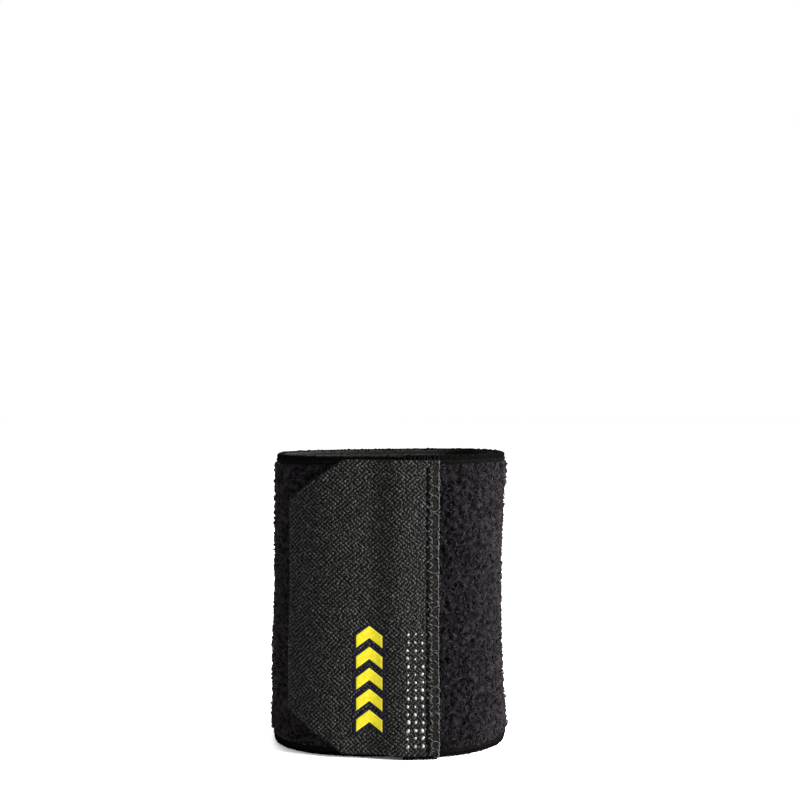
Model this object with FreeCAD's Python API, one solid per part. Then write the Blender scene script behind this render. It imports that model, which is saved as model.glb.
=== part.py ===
import FreeCAD, Part
import math
import os

# Wrap-round wrist support: one loop-faced elastic band wound once round the wrist, overlapping
# itself at the right-hand side, and held by a hook tape tab on the front.
# Millimetres, +Z up along the forearm, front (back of the hand) towards -Y.
# A place along the band is a "turn": degrees clockwise, seen from above, from the right-hand side.
# Sizes across the band's thickness are offsets, measured outwards from the wearer's skin.

# wrist opening
wrist_breadth = 58.0
wrist_depth = 42.0
oval_power = 2.6

# band
band_height = 80.0
lining_thickness = 0.3
strand_thickness = 0.4
strand_width = 1.2
strand_spacing = 4.0
strand_margin = 3.0
web_thickness = 0.6
pile_height = 1.1
selvedge_width = 2.4
selvedge_thickness = 0.6

# how the band is wound
start_turn = -25.0
front_hinge_turn = 178.0
rise_start_turn = 200.0
lift_start_turn = 290.0
lap_hinge_turn = 322.0
lift_end_turn = 330.0
lap_end_turn = 435.0
lap_rise = 0.4
layer_gap = 0.3
hinge_gap = 0.3

# closing tape
tape_height = 78.0
tape_bottom = 1.3
tape_thickness = 0.6
tape_sewn_length = 9.4
tape_free_length = 31.8
tape_drop_length = 4.5
hook_height = 0.6
hook_margin = 2.0
hook_row_spacing = 3.0
hook_row_height = 2.0
corner_clip_width = 15.0
corner_clip_height = 10.5

# stitching
thread_thickness = 0.3
thread_sink = 0.12
lockstitch_pitch = 2.1
lockstitch_length = 1.5
lockstitch_from_lap_end = 6.3
zigzag_pitch = 2.3
zigzag_near = 7.4
zigzag_far = 9.1
seam_margin = 1.6
overlock_pitch = 2.5
overlock_reach = 0.9
overlock_margin = 1.5

# shiny loops beside the seam
sheen_pitch = 2.1
sheen_size = 0.7
sheen_rows = 15
sheen_columns = 3
sheen_from_lap_end = 1.2
sheen_bottom = 3.9

# emblem
emblem_width = 6.9
emblem_bottom = 7.4
emblem_height = 28.0
emblem_from_lap_end = 5.5
emblem_border = 0.9
emblem_thickness = 0.12
emblem_gap = 0.02
chevron_count = 5
chevron_stroke = 3.2
chevron_point = 2.6

half_breadth = wrist_breadth / 2
half_depth = wrist_depth / 2
strands_inner = lining_thickness
web_inner = strands_inner + strand_thickness
web_outer = web_inner + web_thickness
pile_outer = web_outer + pile_height
layer_pitch = pile_outer + layer_gap
lap_outer = layer_pitch + pile_outer
tape_free_inner = pile_outer + layer_gap + hook_height
tape_top = tape_bottom + tape_height
sample_step = 2.5

os.makedirs("parts", exist_ok=True)


def smooth(value):
    value = min(max(value, 0.0), 1.0)
    return value * value * (3 - 2 * value)


def oval_point(turn, offset):
    """A point offset outwards from the wrist's oval, at z = 0."""
    angle = math.radians(-turn)
    across = math.cos(angle)
    deep = math.sin(angle)
    reach = (abs(across / half_breadth) ** oval_power + abs(deep / half_depth) ** oval_power) ** (-1 / oval_power)
    x = reach * across
    y = reach * deep
    slope_x = math.copysign(abs(x / half_breadth) ** (oval_power - 1) / half_breadth, x)
    slope_y = math.copysign(abs(y / half_depth) ** (oval_power - 1) / half_depth, y)
    size = math.hypot(slope_x, slope_y)
    return FreeCAD.Vector(x + offset * slope_x / size, y + offset * slope_y / size, 0)


def band_path(turn, offset):
    """The wound band: it lifts by one layer and rises a little before it laps over itself."""
    lifted = layer_pitch * smooth((turn - lift_start_turn) / (lift_end_turn - lift_start_turn))
    risen = lap_rise * smooth((turn - rise_start_turn) / (lap_hinge_turn - rise_start_turn))
    return oval_point(turn, offset + lifted) + FreeCAD.Vector(0, 0, risen)


def advance(path, turn, offset, distance):
    """The turn that lies a given length further along an offset line of a path."""
    step = math.copysign(0.05, distance)
    here = path(turn, offset)
    walked = 0.0
    while walked < abs(distance):
        there = path(turn + step, offset)
        stride = math.hypot(there.x - here.x, there.y - here.y)
        if walked + stride > abs(distance):
            return turn + step * (abs(distance) - walked) / stride
        walked += stride
        turn += step
        here = there
    return turn


def tape_path(turn, offset):
    """The tape: flat over the lap's end, then down on to the front of the band. Offset 0 is its inner face."""
    drop_end = advance(oval_point, lap_end_turn, lap_outer, tape_drop_length)
    dropped = smooth((turn - lap_end_turn) / (drop_end - lap_end_turn))
    return oval_point(turn, lap_outer + (tape_free_inner - lap_outer) * dropped + offset)


def edge_along(path, start, end, offset, low):
    turns = [start]
    turns += [n * sample_step for n in range(math.ceil(start / sample_step), math.ceil(end / sample_step))
              if 0.3 < n * sample_step - start and 0.3 < end - n * sample_step]
    turns.append(end)
    if len(turns) < 3:
        turns.insert(1, (start + end) / 2)
    curve = Part.BSplineCurve()
    curve.interpolate([path(turn, offset) + FreeCAD.Vector(0, 0, low) for turn in turns])
    return curve.toShape()


def ribbon(path, start, end, inner, outer, low, high):
    """A closed solid that follows a path from one turn to another, between two offsets and two heights."""
    inner_edge = edge_along(path, start, end, inner, low)
    outer_edge = edge_along(path, start, end, outer, low)
    if abs(path(start, 0).z - path(end, 0).z) < 1e-9:
        first_end = Part.makeLine(path(start, inner) + FreeCAD.Vector(0, 0, low),
                                  path(start, outer) + FreeCAD.Vector(0, 0, low))
        last_end = Part.makeLine(path(end, inner) + FreeCAD.Vector(0, 0, low),
                                 path(end, outer) + FreeCAD.Vector(0, 0, low))
        base = Part.Face(Part.Wire(Part.__sortEdges__([inner_edge, last_end, outer_edge, first_end])))
    else:
        base = Part.makeRuledSurface(inner_edge, outer_edge)
    return base.extrude(FreeCAD.Vector(0, 0, high - low))


def evenly(low, high, spacing):
    """Evenly spaced heights centred between two limits."""
    count = int((high - low) / spacing) + 1
    first = (low + high - (count - 1) * spacing) / 2
    return [first + n * spacing for n in range(count)]


def bar_on(path, turn, height, out, length, width, depth, tilt):
    """A short bar lying on a path's surface: its length is tilted from vertical by tilt degrees."""
    bar = Part.makeBox(width, depth, length, FreeCAD.Vector(-width / 2, -depth / 2, -length / 2))
    bar.rotate(FreeCAD.Vector(0, 0, 0), FreeCAD.Vector(0, 1, 0), tilt)
    here = path(turn, out)
    ahead = path(turn + 0.5, out)
    bar.rotate(FreeCAD.Vector(0, 0, 0), FreeCAD.Vector(0, 0, 1),
               math.degrees(math.atan2(here.y - ahead.y, here.x - ahead.x)))
    bar.translate(here + FreeCAD.Vector(0, 0, height))
    return bar


def band_layers(name, start, end):
    """One length of band: lining, rubber strands, woven ground, loop pile and the two selvedges."""
    strand_heights = evenly(strand_margin, band_height - strand_margin, strand_spacing)
    strands = [ribbon(band_path, start, end, strands_inner, web_inner,
                      height - strand_width / 2, height + strand_width / 2) for height in strand_heights]
    top_low = band_height - selvedge_width
    selvedge_outer = web_outer + selvedge_thickness
    return {
        name + "_lining": ribbon(band_path, start, end, 0, lining_thickness, 0, band_height),
        name + "_elastic_strands": Part.makeCompound(strands),
        name + "_web": ribbon(band_path, start, end, web_inner, web_outer, 0, band_height),
        name + "_loop_pile": ribbon(band_path, start, end, web_outer, pile_outer, selvedge_width, top_low),
        name + "_top_selvedge": ribbon(band_path, start, end, web_outer, selvedge_outer, top_low, band_height),
        name + "_bottom_selvedge": ribbon(band_path, start, end, web_outer, selvedge_outer, 0, selvedge_width),
    }


def clip_corners(shape, tip_x, low, high):
    """Cut the tape's two outer corners off at a slant, seen square-on."""
    far = half_breadth + half_depth
    slope = corner_clip_height / corner_clip_width
    for edge, way in ((low, 1), (high, -1)):
        corners = [
            FreeCAD.Vector(tip_x - far, -far, edge + way * (corner_clip_height + slope * far)),
            FreeCAD.Vector(tip_x + corner_clip_width + 1, -far, edge - way * slope),
            FreeCAD.Vector(tip_x - far, -far, edge - way * slope),
        ]
        wedge = Part.Face(Part.makePolygon(corners + corners[:1])).extrude(FreeCAD.Vector(0, 2 * far, 0))
        shape = shape.cut(wedge)
    return shape


def overlock():
    """Thread bars over the cut end that starts on the wrist."""
    edge_end = start_turn
    edge_start = advance(band_path, start_turn, pile_outer, -overlock_reach)
    heights = evenly(overlock_margin, band_height - overlock_margin, overlock_pitch)
    inset = thread_thickness / 2
    bars = [ribbon(band_path, edge_start, edge_end, inset, pile_outer - inset,
                   height - thread_thickness, height + thread_thickness) for height in heights]
    return Part.makeCompound(bars)


def lockstitch():
    """A straight row of stitches that holds the tape to the end of the lap."""
    turn = advance(oval_point, lap_end_turn, lap_outer, -lockstitch_from_lap_end)
    heights = evenly(tape_bottom + seam_margin, tape_top - seam_margin, lockstitch_pitch)
    out = tape_thickness + thread_thickness / 2 - thread_sink
    bars = [bar_on(tape_path, turn, height, out, lockstitch_length, thread_thickness * 2, thread_thickness, 0)
            for height in heights]
    return Part.makeCompound(bars)


def zigzag():
    """A zigzag row along the tape's sewn edge."""
    middle = (zigzag_near + zigzag_far) / 2
    turn = advance(oval_point, lap_end_turn, lap_outer, -middle)
    heights = evenly(tape_bottom + seam_margin, tape_top - seam_margin, zigzag_pitch / 2)
    tilt = math.degrees(math.atan2(zigzag_far - zigzag_near, zigzag_pitch / 2))
    length = math.hypot(zigzag_far - zigzag_near, zigzag_pitch / 2) * 0.85
    out = tape_thickness + thread_thickness / 2 - thread_sink
    bars = []
    for number, height in enumerate(heights):
        lean = tilt if number % 2 else -tilt
        bars.append(bar_on(tape_path, turn, height, out, length, thread_thickness, thread_thickness, lean))
    return Part.makeCompound(bars)


def sheen_loops():
    """Three columns of bare monofilament loops beside the seam."""
    out = tape_thickness + thread_thickness / 2 - thread_sink
    bars = []
    for column in range(sheen_columns):
        turn = advance(oval_point, lap_end_turn, lap_outer, -sheen_from_lap_end - column * (sheen_size + 1.1))
        for row in range(sheen_rows):
            height = sheen_bottom + row * sheen_pitch
            bars.append(bar_on(tape_path, turn, height, out, sheen_size, sheen_size, thread_thickness, 45))
    return Part.makeCompound(bars)


def hook_rows(start, end, tip_x):
    """Bands of hooks on the tape's inner face, clear of the band's pile."""
    low = tape_bottom + hook_margin
    high = tape_top - hook_margin
    rows = []
    for height in evenly(low + hook_row_height / 2, high - hook_row_height / 2, hook_row_spacing):
        rows.append(ribbon(tape_path, start, end, -hook_height, 0,
                           height - hook_row_height / 2, height + hook_row_height / 2))
    clipped = clip_corners(Part.makeCompound(rows), tip_x + hook_margin, tape_bottom, tape_top)
    return Part.makeCompound(clipped.Solids)


def chevron(centre_x, low):
    """The outline of one upward chevron, seen square-on."""
    half = emblem_width / 2
    outline = [
        FreeCAD.Vector(centre_x - half, 0, low),
        FreeCAD.Vector(centre_x, 0, low + chevron_point),
        FreeCAD.Vector(centre_x + half, 0, low),
        FreeCAD.Vector(centre_x + half, 0, low + chevron_stroke),
        FreeCAD.Vector(centre_x, 0, low + chevron_stroke + chevron_point),
        FreeCAD.Vector(centre_x - half, 0, low + chevron_stroke),
    ]
    return Part.Face(Part.makePolygon(outline + outline[:1]))


def emblem():
    """A dark backing and a column of raised chevrons on the tab."""
    start = advance(oval_point, lap_end_turn, tape_free_inner, emblem_from_lap_end - emblem_border)
    end = advance(oval_point, start, tape_free_inner, emblem_width + 2 * emblem_border)
    low = emblem_bottom - emblem_border
    high = emblem_bottom + emblem_height + emblem_border
    face = tape_thickness + emblem_gap
    backing = ribbon(tape_path, start, end, face, face + emblem_thickness, low, high)
    raised = ribbon(tape_path, start, end, face + emblem_thickness, face + 2 * emblem_thickness, low, high)
    centre_x = (tape_path(start, face).x + tape_path(end, face).x) / 2
    pitch = (emblem_height - chevron_stroke - chevron_point) / (chevron_count - 1)
    marks = []
    for number in range(chevron_count):
        cutter = chevron(centre_x, emblem_bottom + number * pitch).extrude(FreeCAD.Vector(0, -2 * wrist_depth, 0))
        marks += raised.common(cutter).Solids
    return backing, Part.makeCompound(marks)


half_gap = hinge_gap / 2
front_end = advance(band_path, front_hinge_turn, pile_outer, -half_gap)
back_start = advance(band_path, front_hinge_turn, pile_outer, half_gap)
back_end = advance(band_path, lap_hinge_turn, pile_outer, -half_gap)
lap_start = advance(band_path, lap_hinge_turn, pile_outer, half_gap)
sewn_start = advance(oval_point, lap_end_turn, lap_outer, -tape_sewn_length)
sewn_end = advance(oval_point, lap_end_turn, lap_outer + tape_thickness, -half_gap)
free_start = advance(oval_point, lap_end_turn, lap_outer + tape_thickness, half_gap)
free_end = advance(oval_point, lap_end_turn, tape_free_inner, tape_free_length)
hooks_start = advance(oval_point, lap_end_turn, tape_free_inner, tape_drop_length + hook_margin)
hooks_end = advance(oval_point, free_end, tape_free_inner, -hook_margin)
tip_x = tape_path(free_end, tape_thickness).x

nodes = {}
nodes.update(band_layers("front", start_turn, front_end))
nodes.update(band_layers("back", back_start, back_end))
nodes.update(band_layers("lap", lap_start, lap_end_turn))
nodes["start_edge_overlock"] = overlock()
nodes["tape_sewn_end"] = ribbon(tape_path, sewn_start, sewn_end, 0, tape_thickness, tape_bottom, tape_top)
nodes["hook_tape"] = clip_corners(ribbon(tape_path, free_start, free_end, 0, tape_thickness, tape_bottom, tape_top),
                                  tip_x, tape_bottom, tape_top)
nodes["hook_rows"] = hook_rows(hooks_start, hooks_end, tip_x)
nodes["seam_lockstitch"] = lockstitch()
nodes["seam_zigzag"] = zigzag()
nodes["sheen_loops"] = sheen_loops()
nodes["emblem_backing"], nodes["emblem_chevrons"] = emblem()

# the origin is under the middle of the whole object
box = FreeCAD.BoundBox()
for shape in nodes.values():
    box.add(shape.optimalBoundingBox(False, False))
to_origin = FreeCAD.Vector(-box.Center.x, -box.Center.y, -box.ZMin)

for name, shape in nodes.items():
    placed = shape.translated(to_origin)
    placed.exportStep(os.path.join("parts", name + ".step"))
    print(name, "solids", len(placed.Solids), "valid", placed.isValid(), "volume", round(placed.Volume, 2))

print("size", round(box.XLength, 3), round(box.YLength, 3), round(box.ZLength, 3))
print("oval centre", [round(value, 4) for value in to_origin])
for name, point in (
    ("front_panel_spread", band_path(front_hinge_turn, pile_outer)),
    ("lap_unwrap", band_path(lap_hinge_turn, pile_outer)),
    ("tab_peel", tape_path(lap_end_turn, tape_thickness)),
    ("bottom_edge", oval_point(130, web_inner + web_thickness / 2)),
):
    print(name, [round(value, 4) for value in point + to_origin])
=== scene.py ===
import bpy
import math
import random
import numpy as np
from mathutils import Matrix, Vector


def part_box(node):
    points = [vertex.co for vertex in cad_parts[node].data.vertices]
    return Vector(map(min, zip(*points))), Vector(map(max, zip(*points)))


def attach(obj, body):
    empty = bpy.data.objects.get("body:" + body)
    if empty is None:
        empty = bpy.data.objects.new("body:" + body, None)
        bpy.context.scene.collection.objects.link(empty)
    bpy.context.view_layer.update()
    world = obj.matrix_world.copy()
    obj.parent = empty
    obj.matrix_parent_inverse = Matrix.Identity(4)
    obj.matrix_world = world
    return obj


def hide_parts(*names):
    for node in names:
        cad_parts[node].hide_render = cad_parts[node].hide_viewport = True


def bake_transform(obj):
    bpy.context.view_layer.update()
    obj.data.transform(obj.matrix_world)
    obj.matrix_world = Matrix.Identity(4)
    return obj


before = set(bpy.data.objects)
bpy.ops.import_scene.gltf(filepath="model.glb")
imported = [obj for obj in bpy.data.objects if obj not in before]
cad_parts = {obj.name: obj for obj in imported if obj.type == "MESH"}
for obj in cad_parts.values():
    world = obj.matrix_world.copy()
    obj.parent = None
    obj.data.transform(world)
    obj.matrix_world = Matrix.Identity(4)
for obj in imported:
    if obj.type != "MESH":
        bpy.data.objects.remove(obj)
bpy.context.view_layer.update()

random.seed(7)
dice = np.random.default_rng(11)
mm = 0.001
pieceLimit = 170000  # triangles in one piece of pile
stepsPerDegree = 20

# the wrist's oval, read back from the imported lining
liningThick = 0.3 * mm
frontLow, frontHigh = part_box("front_lining")
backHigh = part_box("back_lining")[1]
ovalX = (frontLow[0] + frontHigh[0]) / 2
halfBreadth = (frontHigh[0] - frontLow[0]) / 2 - liningThick
ovalY = (frontLow[1] + backHigh[1]) / 2
halfDepth = (backHigh[1] - frontLow[1]) / 2 - liningThick
ovalPower = 2.6

# turns are degrees clockwise, seen from above, from the right-hand side
winding = dict(start=-25.0, riseStart=200.0, liftStart=290.0, lapHinge=322.0, liftEnd=330.0,
               lapEnd=435.0, rise=0.4 * mm, gap=0.3 * mm)
cloth = dict(height=80 * mm, web=1.3 * mm, pile=2.4 * mm, selvedge=2.4 * mm)
tape = dict(bottom=1.3 * mm, height=78 * mm, thick=0.6 * mm, sewn=9.4 * mm, free=31.8 * mm,
            drop=9.0 * mm, hooks=0.6 * mm, clipLong=15.6 * mm, clipHigh=10.5 * mm, before=40, after=100)
tape["long"] = tape["sewn"] + tape["free"]
tapeTop = tape["bottom"] + tape["height"]
layerPitch = cloth["pile"] + winding["gap"]
lapOuter = layerPitch + cloth["pile"]
tapeInner = cloth["pile"] + winding["gap"] + tape["hooks"]


# turns and outward distances to places on the wrist's oval
def smooth(t):
    t = np.clip(t, 0, 1)
    return t * t * (3 - 2 * t)


def ovalPoint(turn, out):
    angle = np.radians(-np.asarray(turn, float))
    across, deep = np.cos(angle), np.sin(angle)
    spread = np.abs(across / halfBreadth) ** ovalPower + np.abs(deep / halfDepth) ** ovalPower
    reach = spread ** (-1 / ovalPower)
    x, y = reach * across, reach * deep
    sx = np.sign(x) * np.abs(x / halfBreadth) ** (ovalPower - 1) / halfBreadth
    sy = np.sign(y) * np.abs(y / halfDepth) ** (ovalPower - 1) / halfDepth
    size = np.hypot(sx, sy)
    return ovalX + x + out * sx / size, ovalY + y + out * sy / size


def bandPoint(turn, out):
    lifting = (turn - winding["liftStart"]) / (winding["liftEnd"] - winding["liftStart"])
    rising = (turn - winding["riseStart"]) / (winding["lapHinge"] - winding["riseStart"])
    x, y = ovalPoint(turn, out + layerPitch * smooth(lifting))
    return x, y, winding["rise"] * smooth(rising)


def lengthTable(turns, out):
    x, y = ovalPoint(turns, out)
    steps = np.hypot(np.diff(x), np.diff(y))
    return np.concatenate([[0], np.cumsum(steps)])


def turnRow(first, last):
    return np.linspace(first, last, round((last - first) * stepsPerDegree) + 1)


bandTurns = turnRow(winding["start"], winding["lapEnd"])
bandX, bandY = bandPoint(bandTurns, cloth["web"] / 2)[:2]
bandRun = np.concatenate([[0], np.cumsum(np.hypot(np.diff(bandX), np.diff(bandY)))])

tapeTurns = turnRow(winding["lapEnd"] - tape["before"], winding["lapEnd"] + tape["after"])
tapeRun = lengthTable(tapeTurns, lapOuter)
tapeRun += tape["sewn"] - np.interp(winding["lapEnd"], tapeTurns, tapeRun)
freeRun = lengthTable(tapeTurns, tapeInner)
freeRun += tape["sewn"] - np.interp(winding["lapEnd"], tapeTurns, freeRun)
tapeRun = np.where(tapeTurns > winding["lapEnd"], freeRun, tapeRun)
dropEnd = np.interp(tape["sewn"] + tape["drop"], tapeRun, tapeTurns)


def tapePoint(turn, out):
    dropped = smooth((turn - winding["lapEnd"]) / (dropEnd - winding["lapEnd"]))
    x, y = ovalPoint(turn, lapOuter + (tapeInner - lapOuter) * dropped + out)
    return x, y, np.zeros_like(x)


def runAt(turn):
    return float(np.interp(turn, bandTurns, bandRun))


# cloth is modelled flat, with x along it, y outwards and z up, and then laid on its path
def pick(piece):
    for other in bpy.context.selected_objects:
        other.select_set(False)
    piece.select_set(True)
    bpy.context.view_layer.objects.active = piece


def readPoints(piece):
    flat = np.empty(len(piece.data.vertices) * 3)
    piece.data.vertices.foreach_get("co", flat)
    return flat.reshape(-1, 3)


def writePoints(piece, points):
    piece.data.vertices.foreach_set("co", np.ascontiguousarray(points, float).ravel())
    piece.data.update()


def mapFlat(piece):
    points = readPoints(piece)
    layer = piece.data.uv_layers.get("flat") or piece.data.uv_layers.new(name="flat")
    corners = np.empty(len(piece.data.loops), int)
    piece.data.loops.foreach_get("vertex_index", corners)
    layer.data.foreach_set("uv", points[corners][:, [0, 2]].astype(np.float32).ravel())


# worn cloth isn't a true cylinder: a slight waist at the right, and a fuller lower left
shape = dict(waistHeight=40 * mm, waistReach=36 * mm, waist=1.55 * mm, waistMost=1.1, pinch=0.3 * mm,
             fullBelow=48 * mm, fullOver=24 * mm, full=0.7 * mm, leftTuck=0.6 * mm, sideOnly=1.5)


def wornShape(turn, z):
    side = np.cos(np.radians(turn))
    flare = np.clip(((z - shape["waistHeight"]) / shape["waistReach"]) ** 2, 0, shape["waistMost"])
    right = shape["waist"] * flare - shape["pinch"]
    left = shape["full"] * smooth((shape["fullBelow"] - z) / shape["fullOver"]) - shape["leftTuck"]
    return np.where(side > 0, right, left) * np.abs(side) ** shape["sideOnly"]


def layOn(piece, path, turns, run):
    points = readPoints(piece)
    turn = np.interp(points[:, 0], run, turns)
    x, y, risen = path(turn, points[:, 1] + wornShape(turn, points[:, 2]))
    writePoints(piece, np.column_stack([x, y, points[:, 2] + risen]))


def layOnBand(piece):
    layOn(piece, bandPoint, bandTurns, bandRun)


def layOnTape(piece):
    layOn(piece, tapePoint, tapeTurns, tapeRun)


def flatGrid(name, x0, x1, z0, z1, out, step, rowStep=None):
    columns = max(2, round((x1 - x0) / step))
    rows = max(2, round((z1 - z0) / (rowStep or step)))
    bpy.ops.mesh.primitive_grid_add(x_subdivisions=columns, y_subdivisions=rows, size=1,
                                    location=((x0 + x1) / 2, out, (z0 + z1) / 2),
                                    rotation=(-math.pi / 2, 0, 0))
    piece = bpy.context.object
    piece.name = name
    piece.scale = (x1 - x0, z1 - z0, 1)
    pick(piece)
    bpy.ops.object.transform_apply(location=True, rotation=True, scale=True)
    return piece


def useModifier(piece, kind, **settings):
    pick(piece)
    modifier = piece.modifiers.new(kind.title(), kind)
    for key, value in settings.items():
        setattr(modifier, key, value)
    bpy.ops.object.modifier_apply(modifier=modifier.name)


def smoothShade(piece, degrees=50):
    pick(piece)
    bpy.ops.object.shade_smooth_by_angle(angle=math.radians(degrees))


def paintShade(mesh, values):
    shade = mesh.attributes.new("shade", "FLOAT", "POINT")
    shade.data.foreach_set("value", np.asarray(values, np.float32))


def joinCopies(name, template, spots, spin=None, lean=None, size=None, tone=None):
    count = len(spots)
    spin = np.zeros(count) if spin is None else np.asarray(spin, float)
    lean = np.zeros(count) if lean is None else np.asarray(lean, float)
    size = np.ones((count, 1)) if size is None else np.asarray(size, float).reshape(count, -1)
    points = readPoints(template)[None, :, :] * (size * np.ones((1, 3)))[:, None, :]
    # lean about x, then spin about the outward y
    x = points[:, :, 0]
    cosine, sine = np.cos(lean)[:, None], np.sin(lean)[:, None]
    y = points[:, :, 1] * cosine - points[:, :, 2] * sine
    z = points[:, :, 1] * sine + points[:, :, 2] * cosine
    cosine, sine = np.cos(spin)[:, None], np.sin(spin)[:, None]
    turned = np.stack([x * cosine + z * sine, y, -x * sine + z * cosine], axis=2)
    verts = (turned + np.asarray(spots, float)[:, None, :]).reshape(-1, 3)
    source = template.data
    corners = np.empty(len(source.loops), int)
    source.loops.foreach_get("vertex_index", corners)
    starts = np.empty(len(source.polygons), int)
    source.polygons.foreach_get("loop_start", starts)
    allCorners = (corners[None, :] + np.arange(count)[:, None] * len(source.vertices)).ravel()
    allStarts = (starts[None, :] + np.arange(count)[:, None] * len(source.loops)).ravel()
    mesh = bpy.data.meshes.new(name)
    mesh.vertices.add(len(verts))
    mesh.vertices.foreach_set("co", verts.ravel())
    mesh.loops.add(len(allCorners))
    mesh.loops.foreach_set("vertex_index", allCorners.astype(np.int32))
    mesh.polygons.add(len(allStarts))
    mesh.polygons.foreach_set("loop_start", allStarts.astype(np.int32))
    mesh.update(calc_edges=True)
    mesh.validate()
    piece = bpy.data.objects.new(name, mesh)
    bpy.context.collection.objects.link(piece)
    mapFlat(piece)
    mesh.polygons.foreach_set("use_smooth", np.ones(len(mesh.polygons), bool))
    tone = dice.random(count) if tone is None else tone
    paintShade(mesh, np.repeat(tone, len(source.vertices)))
    return piece


def discard(piece):
    bpy.data.objects.remove(piece, do_unlink=True)


def newMaterial(name):
    material = bpy.data.materials.new(name)
    material.use_nodes = True
    nodes = material.node_tree.nodes
    return material, nodes, material.node_tree.links, nodes["Principled BSDF"]


def node(nodes, kind, **inputs):
    made = nodes.new("ShaderNode" + kind)
    for key, value in inputs.items():
        made.inputs[key].default_value = value
    return made


def flatNoise(nodes, links, scale, detail=2.0, rough=0.5, stretch=(1, 1, 1)):
    uv = nodes.new("ShaderNodeUVMap")
    uv.uv_map = "flat"
    place = node(nodes, "Mapping", Scale=stretch)
    noise = node(nodes, "TexNoise", Scale=scale, Detail=detail, Roughness=rough)
    links.new(uv.outputs["UV"], place.inputs["Vector"])
    links.new(place.outputs["Vector"], noise.inputs["Vector"])
    return noise


def ramp(nodes, links, source, low, high, dark, light):
    stops = nodes.new("ShaderNodeValToRGB")
    stops.color_ramp.elements[0].position = low
    stops.color_ramp.elements[0].color = (*dark, 1)
    stops.color_ramp.elements[1].position = high
    stops.color_ramp.elements[1].color = (*light, 1)
    links.new(source, stops.inputs["Fac"])
    return stops


def clothFinish(name, dark, light, scale, stretch=(1, 1, 1), rough=0.85, sheen=0.3, sheenRough=0.45,
                tint=(1, 1, 1), bump=0.4, bumpSize=0.15 * mm, shadeSpread=0.0, span=(0.35, 0.65), shine=0.1):
    material, nodes, links, shader = newMaterial(name)
    mottle = flatNoise(nodes, links, scale, 3.0, 0.6, stretch)
    colour = ramp(nodes, links, mottle.outputs["Fac"], span[0], span[1], dark, light)
    result = colour.outputs["Color"]
    if shadeSpread:
        attribute = nodes.new("ShaderNodeAttribute")
        attribute.attribute_name = "shade"
        shadeRamp = ramp(nodes, links, attribute.outputs["Fac"], 0, 1,
                         (1 - shadeSpread,) * 3, (1 + shadeSpread,) * 3)
        mix = nodes.new("ShaderNodeMix")
        mix.data_type = "RGBA"
        mix.blend_type = "MULTIPLY"
        mix.inputs["Factor"].default_value = 1
        links.new(result, mix.inputs["A"])
        links.new(shadeRamp.outputs["Color"], mix.inputs["B"])
        result = mix.outputs["Result"]
    links.new(result, shader.inputs["Base Color"])
    fine = flatNoise(nodes, links, scale * 3, 2.0, 0.6, stretch)
    bumpNode = node(nodes, "Bump", Strength=bump, Distance=bumpSize)
    links.new(fine.outputs["Fac"], bumpNode.inputs["Height"])
    links.new(bumpNode.outputs["Normal"], shader.inputs["Normal"])
    roughRamp = node(nodes, "MapRange")
    roughRamp.inputs["To Min"].default_value = max(0.0, rough - 0.12)
    roughRamp.inputs["To Max"].default_value = min(1.0, rough + 0.1)
    links.new(mottle.outputs["Fac"], roughRamp.inputs["Value"])
    links.new(roughRamp.outputs["Result"], shader.inputs["Roughness"])
    shader.inputs["Sheen Weight"].default_value = sheen
    shader.inputs["Sheen Roughness"].default_value = sheenRough
    shader.inputs["Sheen Tint"].default_value = (*tint, 1)
    shader.inputs["Specular IOR Level"].default_value = shine
    return material


pileBed = clothFinish("pileBed", (0.0006, 0.0005, 0.0006), (0.0060, 0.0051, 0.0059), 700,
                      sheen=0.02, tint=(1.0, 0.9, 1.0), bump=0.8, bumpSize=0.3 * mm,
                      shadeSpread=0.85, shine=0.01)
pileYarn = clothFinish("pileYarn", (0.0010, 0.0009, 0.0010), (0.0067, 0.0058, 0.0066), 500,
                       sheen=0.04, sheenRough=0.5, tint=(1.0, 0.88, 1.0), shadeSpread=0.85, shine=0.0)
webWeave = clothFinish("webWeave", (0.0022, 0.0020, 0.0018), (0.0100, 0.0094, 0.0088), 900, (1, 3, 1),
                       sheen=0.0, bump=0.7, bumpSize=0.2 * mm, shadeSpread=0.8, shine=0.0)
edgeYarn = clothFinish("edgeYarn", (0.0004, 0.0004, 0.0003), (0.0022, 0.0020, 0.0018), 900,
                       sheen=0.0, shadeSpread=0.7, shine=0.01)
tapeGround = clothFinish("tapeGround", (0.0014, 0.0014, 0.0013), (0.0056, 0.0056, 0.0052), 1500,
                         sheen=0.0, bump=0.7, shine=0.02)
tapeYarn = clothFinish("tapeYarn", (0.0048, 0.0048, 0.0044), (0.0148, 0.0148, 0.0137), 420,
                       rough=0.6, sheen=0.02, shadeSpread=0.9, shine=0.12)
seamYarn = clothFinish("seamYarn", (0.006, 0.006, 0.0057), (0.019, 0.019, 0.0181), 500,
                       rough=0.5, sheen=0.02, shadeSpread=0.7, shine=0.2)
darkThread = clothFinish("darkThread", (0.0003, 0.0003, 0.0003), (0.0012, 0.0012, 0.0012), 900,
                         rough=0.6, sheen=0.0, shine=0.01)


def filmFinish(name, dark, light, rough, shine=0.5):
    material, nodes, links, shader = newMaterial(name)
    patch = flatNoise(nodes, links, 900, 2.0, 0.5)
    colour = ramp(nodes, links, patch.outputs["Fac"], 0.3, 0.7, dark, light)
    links.new(colour.outputs["Color"], shader.inputs["Base Color"])
    bumpNode = node(nodes, "Bump", Strength=0.35, Distance=0.1 * mm)
    links.new(patch.outputs["Fac"], bumpNode.inputs["Height"])
    links.new(bumpNode.outputs["Normal"], shader.inputs["Normal"])
    shader.inputs["Roughness"].default_value = rough
    shader.inputs["Specular IOR Level"].default_value = shine
    return material


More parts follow.
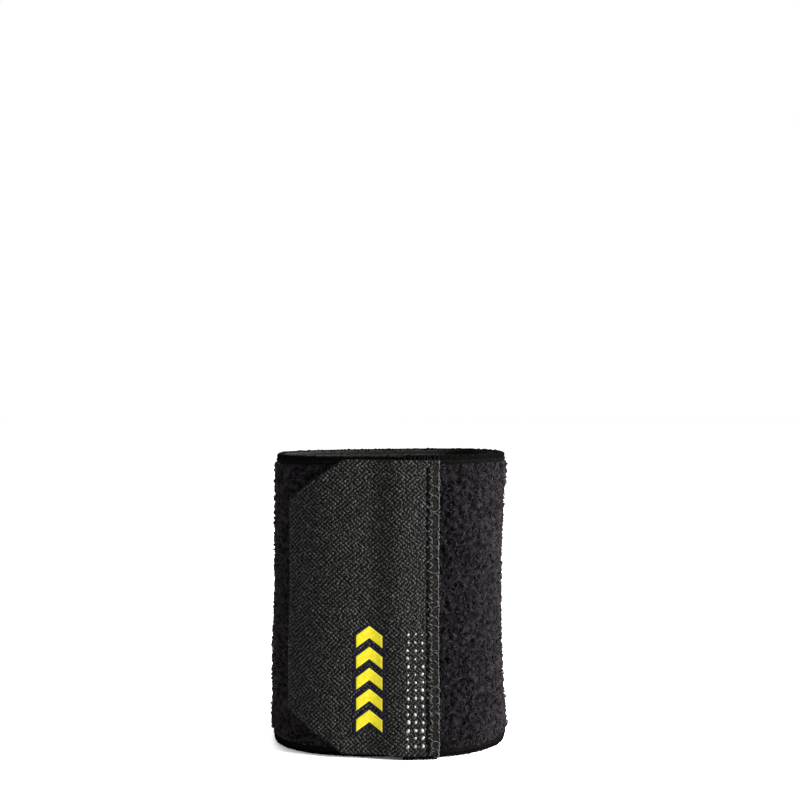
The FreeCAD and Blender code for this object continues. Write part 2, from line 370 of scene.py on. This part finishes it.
yellowFilm = filmFinish("yellowFilm", (0.235, 0.200, 0.003), (0.290, 0.252, 0.007), 0.6, 0.1)
navyFilm = filmFinish("navyFilm", (0.0010, 0.0010, 0.0050), (0.0025, 0.0025, 0.0120), 0.6, 0.06)
# the pale grey of the glossy nylon loops by the seam is a painted glint
paintedGlintNylon = filmFinish("paintedGlintNylon", (0.05, 0.05, 0.049), (0.16, 0.16, 0.156), 0.25)
hookNylon = filmFinish("hookNylon", (0.006, 0.006, 0.006), (0.018, 0.018, 0.0175), 0.4)


def dress(piece, material, body=None):
    piece.data.materials.clear()
    piece.data.materials.append(material)
    if body:
        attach(piece, body)


cameraSet = dict(lens=52.2, sensor=36, nearest=10 * mm, x=3.6 * mm, away=330 * mm, height=95.1 * mm)
cameraData = bpy.data.cameras.new("camera")
cameraData.lens = cameraSet["lens"]
cameraData.sensor_width = cameraSet["sensor"]
cameraData.clip_start = cameraSet["nearest"]
camera = bpy.data.objects.new("camera", cameraData)
bpy.context.collection.objects.link(camera)
camera.location = (cameraSet["x"], -cameraSet["away"], cameraSet["height"])
camera.rotation_euler = (math.pi / 2, 0, 0)
bpy.context.scene.camera = camera
bpy.context.scene.view_settings.view_transform = "Standard"


def softLight(name, place, aim, size, power):
    data = bpy.data.lights.new(name, "AREA")
    data.shape = "DISK"
    data.size = size
    data.energy = power
    lamp = bpy.data.objects.new(name, data)
    bpy.context.collection.objects.link(lamp)
    lamp.location = place
    way = np.array(aim, float) - np.array(place, float)
    lamp.rotation_euler = (math.pi - math.acos(way[2] / np.linalg.norm(way)), 0,
                           math.atan2(way[1], way[0]) - math.pi / 2)
    return lamp


middleOfWrap = (0, 0, cloth["height"] / 2)
softLight("keyLight", (1.16, -0.40, 0.36), middleOfWrap, 0.45, 118)
softLight("backLight", (-0.35, 0.95, 0.7), middleOfWrap, 0.5, 12)
world = bpy.data.worlds.new("studio")
bpy.context.scene.world = world
world.use_nodes = True
world.node_tree.nodes["Background"].inputs["Color"].default_value = (1, 1, 1, 1)
world.node_tree.nodes["Background"].inputs["Strength"].default_value = 1.0

floorSet = dict(radius=6, paint=0.985)
bpy.ops.mesh.primitive_circle_add(vertices=96, radius=floorSet["radius"], fill_type="NGON",
                                  location=(0, 0, 0))
floor = bpy.context.object
floor.name = "floor"
floorPaint = bpy.data.materials.new("floorPaint")
floorPaint.use_nodes = True
floorNodes = floorPaint.node_tree.nodes
floorNodes.remove(floorNodes["Principled BSDF"])
floorMatt = node(floorNodes, "BsdfDiffuse", Color=(*[floorSet["paint"]] * 3, 1))
floorPaint.node_tree.links.new(floorMatt.outputs["BSDF"], floorNodes["Material Output"].inputs["Surface"])
floor.data.materials.append(floorPaint)
print("camera, lights and floor are set")


# the band, in three lengths that meet away from the hinges
strips = {
    "front": dict(start=winding["start"], end=165.0, nodes="front"),
    "side": dict(start=165.0, end=285.0, nodes="back", bend=(168.0, 196.0)),
    "lap": dict(start=285.0, end=winding["lapEnd"], nodes="lap", bend=(311.0, 333.0)),
}
# near the end, the cord and inner values set painted light on the selvedge cord and the lining's ribs
webSet = dict(step=1.25 * mm, rowStep=0.32 * mm, ribPitch=1.27 * mm, ribDeep=0.14 * mm, ribSharp=0.7,
              cordInset=(0.62 * mm, 1.62 * mm), cordHalf=(0.42 * mm, 0.46 * mm),
              cordHigh=(0.26 * mm, 0.42 * mm), cordHighlight=0.12, innerTone=0.35,
              edgeRound=0.5 * mm, edgeThin=0.12)
beadSet = dict(pitch=1.05 * mm, wide=0.62 * mm, high=0.42 * mm, deep=0.85 * mm, loose=0.15 * mm,
               inset=0.336 * mm)
# the bed's last three values set its painted shade, in the hollows and beside the seam
bedSet = dict(step=0.5 * mm, base=1.25 * mm, high=0.6 * mm, lump=1.9 * mm, lumpSize=0.85 * mm,
              swell=0.5 * mm, swellSize=2.6 * mm, margin=2.0 * mm, roll=1.0 * mm, rollLeast=0.1,
              back=0.25 * mm, hollowShadeReach=0.75 * mm, seamShadeLevel=0.5, seamShadeReach=20 * mm)
loopSet = dict(across=0.37 * mm, thick=0.17 * mm, cut=0.12 * mm, perMm2=1.55, sink=0.2 * mm,
               rise=0.1 * mm, seat=0.1 * mm, highest=2.25 * mm, endGap=0.3 * mm, edgeGap=0.1 * mm,
               lean=0.8, swell=0.25, looseTone=0.13)


def bendStrip(piece, name):
    if name == "front":
        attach(piece, "front_panel")
    elif name == "side":
        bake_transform(piece)
    else:
        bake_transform(piece)


def webStrip(name, x0, x1):
    web = flatGrid(name + "_web_cloth", x0, x1, 0, cloth["height"], cloth["web"],
                   webSet["step"], webSet["rowStep"])
    useModifier(web, "SOLIDIFY", thickness=cloth["web"], offset=-1)
    points = readPoints(web)
    z = points[:, 2]
    fromEdge = np.minimum(z, cloth["height"] - z)
    outer = points[:, 1] > cloth["web"] / 2
    # warp cords along both edges of the outer face
    lift = np.zeros(len(z))
    for inset, half, high in zip(webSet["cordInset"], webSet["cordHalf"], webSet["cordHigh"]):
        reach = np.clip(1 - ((fromEdge - inset) / half) ** 2, 0, 1)
        lift = np.maximum(lift, high * np.sqrt(reach))
    rib = np.abs(np.sin(math.pi * z / webSet["ribPitch"])) ** webSet["ribSharp"]
    points[:, 1] += np.where(outer, lift, webSet["ribDeep"] * (1 - rib))
    # the lining's inner face is a paler knit than the selvedge, with a painted highlight on its rib crests
    # and painted shade in the troughs; the outer face gets a painted highlight along its second cord
    onCord = np.clip(1 - ((fromEdge - webSet["cordInset"][1]) / webSet["cordHalf"][1]) ** 2, 0, 1)
    paintShade(web.data, np.where(outer, webSet["cordHighlight"] * onCord,
                                  webSet["innerTone"] + (1 - webSet["innerTone"]) * rib))
    # round the two long edges
    middle = cloth["web"] / 2
    inward = 1 - np.clip(fromEdge / webSet["edgeRound"], 0, 1)
    shrink = np.sqrt(np.clip(1 - inward ** 2, webSet["edgeThin"], 1))
    points[:, 1] = middle + (points[:, 1] - middle) * shrink
    writePoints(web, points)
    mapFlat(web)
    layOnBand(web)
    smoothShade(web, 60)
    return web


def edgeBeads(name, x0, x1):
    bpy.ops.mesh.primitive_uv_sphere_add(segments=7, ring_count=5, radius=1, location=(0, 0, 0))
    bead = bpy.context.object
    places = np.arange(x0 + beadSet["pitch"] / 2, x1, beadSet["pitch"])
    spots, sizes = [], []
    for edge, way in ((0, 1), (cloth["height"], -1)):
        for x in places:
            spots.append((x + random.uniform(-1, 1) * beadSet["loose"],
                          cloth["web"] / 2 + random.uniform(-0.05, 0.12) * mm,
                          edge + way * (beadSet["inset"] + random.uniform(-0.12, 0.1) * mm)))
            swell = random.uniform(0.85, 1.15)
            sizes.append((beadSet["wide"] * swell, beadSet["deep"] * random.uniform(0.8, 1.0),
                          beadSet["high"] * swell))
    row = joinCopies(name + "_edge_yarn", bead, spots, size=sizes)
    discard(bead)
    layOnBand(row)
    return row


# painted shade: hollows between the lumps are darker, and the pile beside the seam is darker still
def paintedLumpShade(out, x):
    middle = bedSet["base"] + bedSet["high"]
    fromSeam = runAt(winding["lapEnd"]) - tape["sewn"] - x
    free = smooth(fromSeam / bedSet["seamShadeReach"])
    seamShade = bedSet["seamShadeLevel"] + (1 - bedSet["seamShadeLevel"]) * free
    return np.clip(0.5 + (out - middle) / bedSet["hollowShadeReach"], 0, 1) * seamShade


def pileBedStrip(name, x0, x1):
    z0, z1 = bedSet["margin"], cloth["height"] - bedSet["margin"]
    bed = flatGrid(name + "_pile_bed", x0, x1, z0, z1, bedSet["base"] + bedSet["high"], bedSet["step"])
    for kind, size, strength in (("lumps", bedSet["lumpSize"], bedSet["lump"]),
                                 ("swells", bedSet["swellSize"], bedSet["swell"])):
        texture = bpy.data.textures.new(name + kind, "CLOUDS")
        texture.noise_scale = size
        texture.noise_depth = 1
        useModifier(bed, "DISPLACE", texture=texture, strength=strength, mid_level=0.5, direction="Y",
                    texture_coords="LOCAL")
    points = readPoints(bed)
    fromEdge = np.minimum(points[:, 2] - z0, z1 - points[:, 2])
    rolled = np.sqrt(np.clip(1 - (1 - np.clip(fromEdge / bedSet["roll"], 0, 1)) ** 2, 0, 1))
    rolled = bedSet["rollLeast"] + (1 - bedSet["rollLeast"]) * rolled
    points[:, 1] = bedSet["base"] + (points[:, 1] - bedSet["base"]) * rolled
    writePoints(bed, points)
    columns = np.rint((points[:, 0] - x0) / bedSet["step"]).astype(int)
    rows = np.rint((points[:, 2] - z0) / bedSet["step"]).astype(int)
    heights = np.zeros((columns.max() + 1, rows.max() + 1))
    heights[columns, rows] = points[:, 1]
    # painted shade: the bed is darker in its hollows and beside the seam
    paintShade(bed.data, paintedLumpShade(points[:, 1], points[:, 0]))
    useModifier(bed, "SOLIDIFY", thickness=bedSet["back"], offset=-1)
    mapFlat(bed)
    layOnBand(bed)
    smoothShade(bed, 80)
    return bed, heights


def pileLoopTemplate():
    bpy.ops.mesh.primitive_torus_add(major_segments=7, minor_segments=3, major_radius=loopSet["across"],
                                     minor_radius=loopSet["thick"], location=(0, 0, 0))
    loop = bpy.context.object
    pick(loop)
    bpy.ops.object.mode_set(mode="EDIT")
    bpy.ops.mesh.select_all(action="SELECT")
    bpy.ops.mesh.bisect(plane_co=(0, -loopSet["cut"], 0), plane_no=(0, -1, 0), use_fill=True,
                        clear_outer=True)
    bpy.ops.object.mode_set(mode="OBJECT")
    return loop


def pileLoops(name, x0, x1, heights):
    z0 = cloth["selvedge"] + loopSet["edgeGap"]
    z1 = cloth["height"] - z0
    count = int((x1 - x0) * (z1 - z0) / mm / mm * loopSet["perMm2"])
    template = pileLoopTemplate()
    x = dice.uniform(x0 + loopSet["endGap"], x1 - loopSet["endGap"], count)
    z = dice.uniform(z0, z1, count)
    column = np.clip(np.rint((x - x0) / bedSet["step"]).astype(int), 0, heights.shape[0] - 1)
    row = np.clip(np.rint((z - bedSet["margin"]) / bedSet["step"]).astype(int), 0, heights.shape[1] - 1)
    height = heights[column, row]
    out = np.minimum(height, loopSet["highest"]) - loopSet["seat"]
    out = out + dice.uniform(-loopSet["sink"], loopSet["rise"], count)
    # each loop takes the bed's painted shade beneath it, plus random tone
    tone = np.clip(paintedLumpShade(height, x) + dice.normal(0, loopSet["looseTone"], count), 0, 1)
    pieces = []
    triangles = count * (len(template.data.loops) - 2 * len(template.data.polygons))
    parts = math.ceil(triangles / pieceLimit)
    for part in range(parts):
        chosen = slice(part * count // parts, (part + 1) * count // parts)
        number = len(x[chosen])
        loops = joinCopies(f"{name}_pile_loops_{part + 1}", template,
                           np.column_stack([x[chosen], out[chosen], z[chosen]]),
                           spin=dice.uniform(0, 2 * math.pi, number),
                           lean=dice.uniform(-loopSet["lean"], loopSet["lean"], number),
                           size=dice.uniform(1 - loopSet["swell"], 1 + loopSet["swell"], number),
                           tone=tone[chosen])
        layOnBand(loops)
        pieces.append(loops)
    discard(template)
    return pieces


for name, strip in strips.items():
    x0, x1 = runAt(strip["start"]), runAt(strip["end"])
    web = webStrip(name, x0, x1)
    beads = edgeBeads(name, x0, x1)
    bed, bedHeights = pileBedStrip(name, x0, x1)
    loops = pileLoops(name, x0, x1, bedHeights)
    dress(web, webWeave)
    dress(beads, edgeYarn)
    dress(bed, pileBed)
    for piece in loops:
        dress(piece, pileYarn)
    nodes = strip["nodes"]
    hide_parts(nodes + "_web", nodes + "_lining", nodes + "_elastic_strands")
    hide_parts(nodes + "_top_selvedge", nodes + "_bottom_selvedge")
    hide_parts(nodes + "_loop_pile")
    for piece in [web, beads, bed, *loops]:
        bendStrip(piece, name)
    print("band strip", name, "length", round((x1 - x0) / mm, 1), "mm, loop pieces", len(loops))


# thread over the cut end that starts on the wrist
overlockSet = dict(pitch=1.25 * mm, radius=1.1 * mm, thick=0.17 * mm, margin=1.5 * mm, lean=0.25, flat=0.6)
bpy.ops.mesh.primitive_torus_add(major_segments=12, minor_segments=5, major_radius=overlockSet["radius"],
                                 minor_radius=overlockSet["thick"], location=(0, 0, 0))
ring = bpy.context.object
ringHeights = np.arange(overlockSet["margin"], cloth["height"] - 1 * mm, overlockSet["pitch"])
overlock = joinCopies("start_edge_thread", ring,
                      [(0.1 * mm, cloth["web"] * 0.92, height) for height in ringHeights],
                      lean=[overlockSet["lean"] * (1 if n % 2 else -1) for n in range(len(ringHeights))],
                      size=[(overlockSet["flat"], 1.0, 1.0)] * len(ringHeights))
discard(ring)
layOnBand(overlock)
dress(overlock, darkThread, "front_panel")
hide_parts("start_edge_overlock")


tapeSet = dict(step=0.5 * mm, face=0.48 * mm, groove=0.3 * mm, grooveHalf=0.55 * mm,
               stitchFromLap=6.3 * mm, bendBefore=0.6 * mm, bendAfter=3.6 * mm)


def bendTape(piece):
    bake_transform(piece)


def clipCorners(piece):
    pick(piece)
    bpy.ops.object.mode_set(mode="EDIT")
    for edge, way in ((tape["bottom"], 1), (tapeTop, -1)):
        bpy.ops.mesh.select_all(action="SELECT")
        normal = np.array([tape["clipHigh"], 0, -way * tape["clipLong"]])
        corner = (tape["long"], 0, edge + way * tape["clipHigh"])
        bpy.ops.mesh.bisect(plane_co=corner, plane_no=tuple(normal / np.linalg.norm(normal)),
                            clear_outer=True)
    bpy.ops.object.mode_set(mode="OBJECT")


def insideTape(x, z, inset):
    low, high = tape["bottom"] + inset, tapeTop - inset
    slope = tape["clipHigh"] / tape["clipLong"]
    corner = np.clip(x - (tape["long"] - inset - tape["clipLong"]), 0, None) * slope
    return (z > low + corner) & (z < high - corner) & (x > inset) & (x < tape["long"] - inset)


stitchX = tape["sewn"] - tapeSet["stitchFromLap"]
tapeCloth = flatGrid("tape_cloth", 0, tape["long"], tape["bottom"], tapeTop, tapeSet["face"], tapeSet["step"])
clipCorners(tapeCloth)
useModifier(tapeCloth, "SOLIDIFY", thickness=tapeSet["face"], offset=-1)
points = readPoints(tapeCloth)
outer = points[:, 1] > tapeSet["face"] / 2
groove = np.exp(-((points[:, 0] - stitchX) / tapeSet["grooveHalf"]) ** 2) * tapeSet["groove"]
points[:, 1] -= np.where(outer, groove, 0)
writePoints(tapeCloth, points)
mapFlat(tapeCloth)
layOnTape(tapeCloth)
smoothShade(tapeCloth, 50)
dress(tapeCloth, tapeGround)
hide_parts("tape_sewn_end", "hook_tape")
bendTape(tapeCloth)

# the weave: knots on a slanting lattice, joined by short links, with dark holes between
lockSet = dict(pitch=2.1 * mm, half=0.85 * mm, wide=0.46 * mm, thick=0.2 * mm, holeHalf=0.72 * mm,
               low=1.6 * mm, high=1 * mm)
lockHeights = np.arange(tape["bottom"] + lockSet["low"], tapeTop - lockSet["high"], lockSet["pitch"])
weaveSet = dict(across=0.66 * mm, up=0.6 * mm, waver=0.3 * mm, loose=0.1 * mm, climb=1.7 * mm,
                knot=(0.31, 0.25, 0.30), link=(0.17, 0.18, 0.44), linkSink=0.02 * mm, inset=0.25 * mm,
                start=2.0 * mm, sparks=0.1, sparkTone=0.5)
bpy.ops.mesh.primitive_uv_sphere_add(segments=5, ring_count=4, radius=1, location=(0, 0, 0))
floatBead = bpy.context.object


def weaveSpots():
    columns = np.arange(0, tape["long"], weaveSet["across"])
    rows = np.arange(tape["bottom"], tapeTop, weaveSet["up"])
    column, row = [part.ravel() for part in np.meshgrid(range(len(columns)), range(len(rows)), indexing="ij")]
    knot = (column + row) % 2 == 0
    x, z = columns[column[knot]], rows[row[knot]]
    drift = np.sin(x / (9 * mm) + 2 * np.sin(z / (11 * mm)))
    x = x + weaveSet["waver"] * np.sin(z / (4.1 * mm) + drift)
    z = z + weaveSet["waver"] * np.sin(x / (3.3 * mm) - drift)
    return x, z


knotX, knotZ = weaveSpots()
knotNumber = len(knotX)
zigzag = np.sin(math.pi * knotZ / weaveSet["climb"] + 1.6 * np.sin(knotX / (4 * mm)))
slant = np.where(zigzag + dice.normal(0, 0.6, knotNumber) > 0, 1, -1)
slope = math.atan(weaveSet["across"] / weaveSet["up"])
isKnot = np.arange(2 * knotNumber) < knotNumber
floatX = np.concatenate([knotX, knotX + slant * weaveSet["across"] / 2])
floatZ = np.concatenate([knotZ, knotZ + weaveSet["up"] / 2])
floatX = floatX + dice.normal(0, weaveSet["loose"], 2 * knotNumber)
floatZ = floatZ + dice.normal(0, weaveSet["loose"], 2 * knotNumber)
floatLean = np.concatenate([dice.uniform(-1, 1, knotNumber),
                            slope * slant + dice.normal(0, 0.15, knotNumber)])
nearHole = np.abs(floatZ[:, None] - lockHeights[None, :]).min(axis=1) < lockSet["half"]
kept = insideTape(floatX, floatZ, weaveSet["inset"]) & (floatX > weaveSet["start"])
kept &= ~((np.abs(floatX - stitchX) < lockSet["holeHalf"]) & nearHole)
floatX, floatZ, floatLean, isKnot = floatX[kept], floatZ[kept], floatLean[kept], isKnot[kept]
number = len(floatX)
swell = dice.uniform(0.7, 1.3, (number, 3))
floatSize = np.where(isKnot[:, None], weaveSet["knot"], weaveSet["link"]) * swell * mm
floatOut = tapeSet["face"] - np.where(isKnot, 0, weaveSet["linkSink"])
floatOut += dice.uniform(-0.05, 0.06, number) * mm
spark = weaveSet["sparkTone"] * (dice.random(number) > 1 - weaveSet["sparks"])
floatTone = np.clip(np.where(isKnot, dice.beta(1.6, 2.0, number) + spark,
                             dice.beta(1.5, 2.4, number) * 0.9), 0, 1)
middleHeight = tape["bottom"] + tape["height"] / 2
for half, chosen in (("lower", floatZ < middleHeight), ("upper", floatZ >= middleHeight)):
    floats = joinCopies("tape_floats_" + half, floatBead,
                        np.column_stack([floatX[chosen], floatOut[chosen], floatZ[chosen]]),
                        spin=floatLean[chosen], size=floatSize[chosen], tone=floatTone[chosen])
    layOnTape(floats)
    dress(floats, tapeYarn)
    bendTape(floats)
print("tape floats", number)

# a fine selvedge cord down the free edge, and the lockstitch column
cordSet = dict(pitch=0.62 * mm, start=0.4 * mm, inset=0.12 * mm, out=0.36 * mm, bead=(0.2, 0.26, 0.36))
edgeHeights = np.arange(tape["bottom"] + tape["clipHigh"] + cordSet["start"], tapeTop - tape["clipHigh"],
                        cordSet["pitch"])
edgeCord = joinCopies("tape_free_edge", floatBead,
                      [(tape["long"] - cordSet["inset"], cordSet["out"], height) for height in edgeHeights],
                      size=[np.array(cordSet["bead"]) * mm] * len(edgeHeights))
layOnTape(edgeCord)
dress(edgeCord, tapeYarn, "closure_tab")

lockRow = joinCopies("seam_lock_thread", floatBead,
                     [(stitchX + random.uniform(-0.12, 0.12) * mm,
                       tapeSet["face"] - tapeSet["groove"] + lockSet["thick"] / 2,
                       height + random.uniform(-0.15, 0.15) * mm) for height in lockHeights],
                     spin=dice.normal(0, 0.25, len(lockHeights)),
                     size=[(lockSet["wide"] * random.uniform(0.7, 1.2), lockSet["thick"],
                            lockSet["half"] * random.uniform(0.6, 1.0)) for height in lockHeights])
layOnTape(lockRow)
dress(lockRow, darkThread, "outer_lap")
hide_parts("seam_lockstitch")

# chain loops along the sewn edge
chainSet = dict(pitch=2.3 * mm, middle=1.05 * mm, wide=0.95 * mm, high=1.02 * mm, deep=1.6 * mm, thick=0.13,
                dive=0.3, diveFrom=0.35, out=0.51 * mm, low=0.9 * mm, top=0.5 * mm)
bpy.ops.mesh.primitive_torus_add(major_segments=16, minor_segments=6, major_radius=1,
                                 minor_radius=chainSet["thick"], location=(0, 0, 0),
                                 rotation=(math.pi / 2, 0, 0))
chainRing = bpy.context.object
pick(chainRing)
bpy.ops.object.transform_apply(location=True, rotation=True, scale=True)
points = readPoints(chainRing)
points[:, 1] -= chainSet["dive"] * np.clip(chainSet["diveFrom"] + points[:, 0], 0, 1)  # into the tape
writePoints(chainRing, points)
chainHeights = np.arange(tape["bottom"] + chainSet["low"], tapeTop - chainSet["top"], chainSet["pitch"])
chain = joinCopies("seam_chain_thread", chainRing,
                   [(chainSet["middle"] + random.uniform(-0.1, 0.1) * mm, chainSet["out"],
                     height + random.uniform(-0.1, 0.1) * mm) for height in chainHeights],
                   spin=dice.normal(0, 0.5, len(chainHeights)),
                   lean=dice.normal(0, 0.2, len(chainHeights)),
                   size=[(chainSet["wide"] * random.uniform(0.65, 1.1), chainSet["deep"],
                          chainSet["high"] * random.uniform(0.7, 1.35)) for height in chainHeights])
layOnTape(chain)
dress(chain, seamYarn, "outer_lap")
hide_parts("seam_zigzag")
discard(chainRing)

# slanting ties between the stitch column and the chain, and a bright cord at the raw edge
tieSet = dict(pitch=1.15 * mm, x=2.25 * mm, slant=0.9, thick=0.17, low=1.2 * mm, top=1 * mm)
tieHeights = np.arange(tape["bottom"] + tieSet["low"], tapeTop - tieSet["top"], tieSet["pitch"])
number = len(tieHeights)
tieWay = np.where(np.arange(number) % 2, 1, -1)
ties = joinCopies("seam_tie_thread", floatBead,
                  np.column_stack([tieSet["x"] + dice.normal(0, 0.15 * mm, number),
                                   chainSet["out"] + dice.uniform(0, 0.08 * mm, number),
                                   tieHeights + dice.normal(0, 0.12 * mm, number)]),
                  spin=tieSet["slant"] * tieWay + dice.normal(0, 0.25, number),
                  size=np.column_stack([dice.uniform(0.13, 0.2, number), np.full(number, tieSet["thick"]),
                                        dice.uniform(0.55, 1.0, number)]) * mm)
rawSet = dict(pitch=0.95 * mm, x=0.22 * mm, thick=0.2, low=0.5 * mm, top=0.3 * mm)
rawHeights = np.arange(tape["bottom"] + rawSet["low"], tapeTop - rawSet["top"], rawSet["pitch"])
number = len(rawHeights)
rawEdge = joinCopies("seam_raw_edge", floatBead,
                     np.column_stack([rawSet["x"] + dice.normal(0, 0.07 * mm, number),
                                      tapeSet["face"] + dice.uniform(0, 0.1 * mm, number), rawHeights]),
                     spin=dice.normal(0, 0.3, number),
                     size=np.column_stack([dice.uniform(0.16, 0.24, number), np.full(number, rawSet["thick"]),
                                           dice.uniform(0.4, 0.7, number)]) * mm)
for piece in (ties, rawEdge):
    layOnTape(piece)
    dress(piece, seamYarn, "outer_lap")

# thread whipped over the lap's long edges where the tape is sewn down
whipSet = dict(pitch=0.85 * mm, radius=0.95 * mm, thick=0.36 * mm, start=0.4 * mm, stop=0.2 * mm,
               out=-1.05 * mm, inset=0.85)
bpy.ops.mesh.primitive_torus_add(major_segments=14, minor_segments=5, major_radius=whipSet["radius"],
                                 minor_radius=whipSet["thick"], location=(0, 0, 0),
                                 rotation=(0, math.pi / 2, 0))
whipRing = bpy.context.object
pick(whipRing)
bpy.ops.object.transform_apply(location=True, rotation=True, scale=True)
whipSpots, whipSpins = [], []
for edge, way in ((winding["rise"], 1), (winding["rise"] + cloth["height"], -1)):
    for fromEnd in np.arange(whipSet["start"], tape["sewn"] - whipSet["stop"], whipSet["pitch"]):
        whipSpots.append((tape["sewn"] - fromEnd + random.uniform(-0.2, 0.2) * mm, whipSet["out"],
                          edge + way * (whipSet["inset"] + random.uniform(-0.2, 0.12)) * mm))
        whipSpins.append(random.uniform(-0.5, 0.5))
whip = joinCopies("seam_edge_whip", whipRing, whipSpots, spin=whipSpins)
discard(whipRing)
layOnTape(whip)
dress(whip, darkThread, "outer_lap")

# bare glossy loops beside the seam, their pale colour a painted glint on glossy nylon, larger and so brighter
# towards the bottom
glintSet = dict(pitch=2.1 * mm, rows=15, bottom=3.9 * mm, columns=(1.1 * mm, 3.0 * mm, 4.9 * mm),
                out=0.54 * mm, size=0.52 * mm, flat=0.7, tall=1.25, fade=0.45)
glintSpots, glintSizes = [], []
for fromLap in glintSet["columns"]:
    for row in range(glintSet["rows"]):
        fade = 1 - glintSet["fade"] * row / glintSet["rows"]
        glintSpots.append((tape["sewn"] - fromLap + random.uniform(-0.15, 0.15) * mm, glintSet["out"],
                           glintSet["bottom"] + row * glintSet["pitch"] + random.uniform(-0.15, 0.15) * mm))
        swell = fade * random.uniform(0.65, 1.25)
        glintSizes.append((glintSet["size"] * swell, glintSet["size"] * glintSet["flat"],
                           glintSet["size"] * glintSet["tall"] * swell))
glints = joinCopies("sheen_loop_row", floatBead, glintSpots, spin=dice.uniform(-0.9, 0.9, len(glintSpots)),
                    size=glintSizes)
layOnTape(glints)
dress(glints, paintedGlintNylon, "outer_lap")
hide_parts("sheen_loops")
discard(floatBead)

# hooks on the inner face
hookSet = dict(rowPitch=1.5 * mm, pitch=1.3 * mm, start=tape["sewn"] + tape["drop"] - 1 * mm,
               inset=2.2 * mm, top=2 * mm, stem=0.11 * mm, cap=0.24 * mm, capFlat=0.55, root=0.05 * mm)
bpy.ops.mesh.primitive_cylinder_add(vertices=5, radius=hookSet["stem"], depth=tape["hooks"] * 0.8,
                                    location=(0, -tape["hooks"] * 0.4, 0), rotation=(math.pi / 2, 0, 0))
stem = bpy.context.object
bpy.ops.mesh.primitive_uv_sphere_add(segments=6, ring_count=4, radius=hookSet["cap"],
                                     location=(0, -tape["hooks"] * 0.82, 0))
cap = bpy.context.object
cap.scale = (1, hookSet["capFlat"], 1)
pick(cap)
stem.select_set(True)
bpy.context.view_layer.objects.active = cap
bpy.ops.object.join()
bpy.ops.object.transform_apply(location=True, rotation=True, scale=True)
hookX, hookZ = np.meshgrid(np.arange(hookSet["start"], tape["long"] - hookSet["inset"], hookSet["pitch"]),
                           np.arange(tape["bottom"] + hookSet["inset"], tapeTop - hookSet["top"],
                                     hookSet["rowPitch"]), indexing="ij")
hookX, hookZ = hookX.ravel(), hookZ.ravel()
kept = insideTape(hookX, hookZ, hookSet["inset"])
hookX, hookZ = hookX[kept], hookZ[kept]
hooks = joinCopies("hook_field", cap,
                   np.column_stack([hookX, np.full(len(hookX), hookSet["root"]), hookZ]),
                   spin=dice.uniform(0, 6, len(hookX)))
discard(cap)
layOnTape(hooks)
dress(hooks, hookNylon, "closure_tab")
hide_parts("hook_rows")


# the emblem is a plain column of chevrons
emblemSet = dict(fromLap=5.5 * mm, wide=6.9 * mm, bottom=7.4 * mm, tall=28.0 * mm, stroke=3.2 * mm,
                 point=2.6 * mm, count=5, rim=0.75 * mm, thick=0.12 * mm, out=0.57 * mm, step=0.5 * mm)


def chevronRow(name, grow, out):
    half = emblemSet["wide"] / 2 + grow
    bar = flatGrid(name, -half, half, -grow, emblemSet["stroke"] + grow, 0, emblemSet["step"])
    points = readPoints(bar)
    points[:, 2] += emblemSet["point"] * (1 - np.abs(points[:, 0]) / (emblemSet["wide"] / 2))
    writePoints(bar, points)
    useModifier(bar, "SOLIDIFY", thickness=emblemSet["thick"], offset=1)
    useModifier(bar, "BEVEL", width=emblemSet["thick"] * 0.4, segments=2, limit_method="ANGLE")
    pitch = (emblemSet["tall"] - emblemSet["stroke"] - emblemSet["point"]) / (emblemSet["count"] - 1)
    middle = tape["sewn"] + emblemSet["fromLap"] + emblemSet["wide"] / 2
    spots = [(middle, out, emblemSet["bottom"] + n * pitch) for n in range(emblemSet["count"])]
    row = joinCopies(name + "s", bar, spots)
    discard(bar)
    layOnTape(row)
    smoothShade(row, 40)
    return row


emblemRim = chevronRow("emblem_rim", emblemSet["rim"], emblemSet["out"])
dress(emblemRim, navyFilm, "closure_tab")
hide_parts("emblem_backing")
emblemMark = chevronRow("emblem_mark", 0.0, emblemSet["out"] + emblemSet["thick"])
dress(emblemMark, yellowFilm, "closure_tab")
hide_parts("emblem_chevrons")
print("tape, seam and emblem are made")
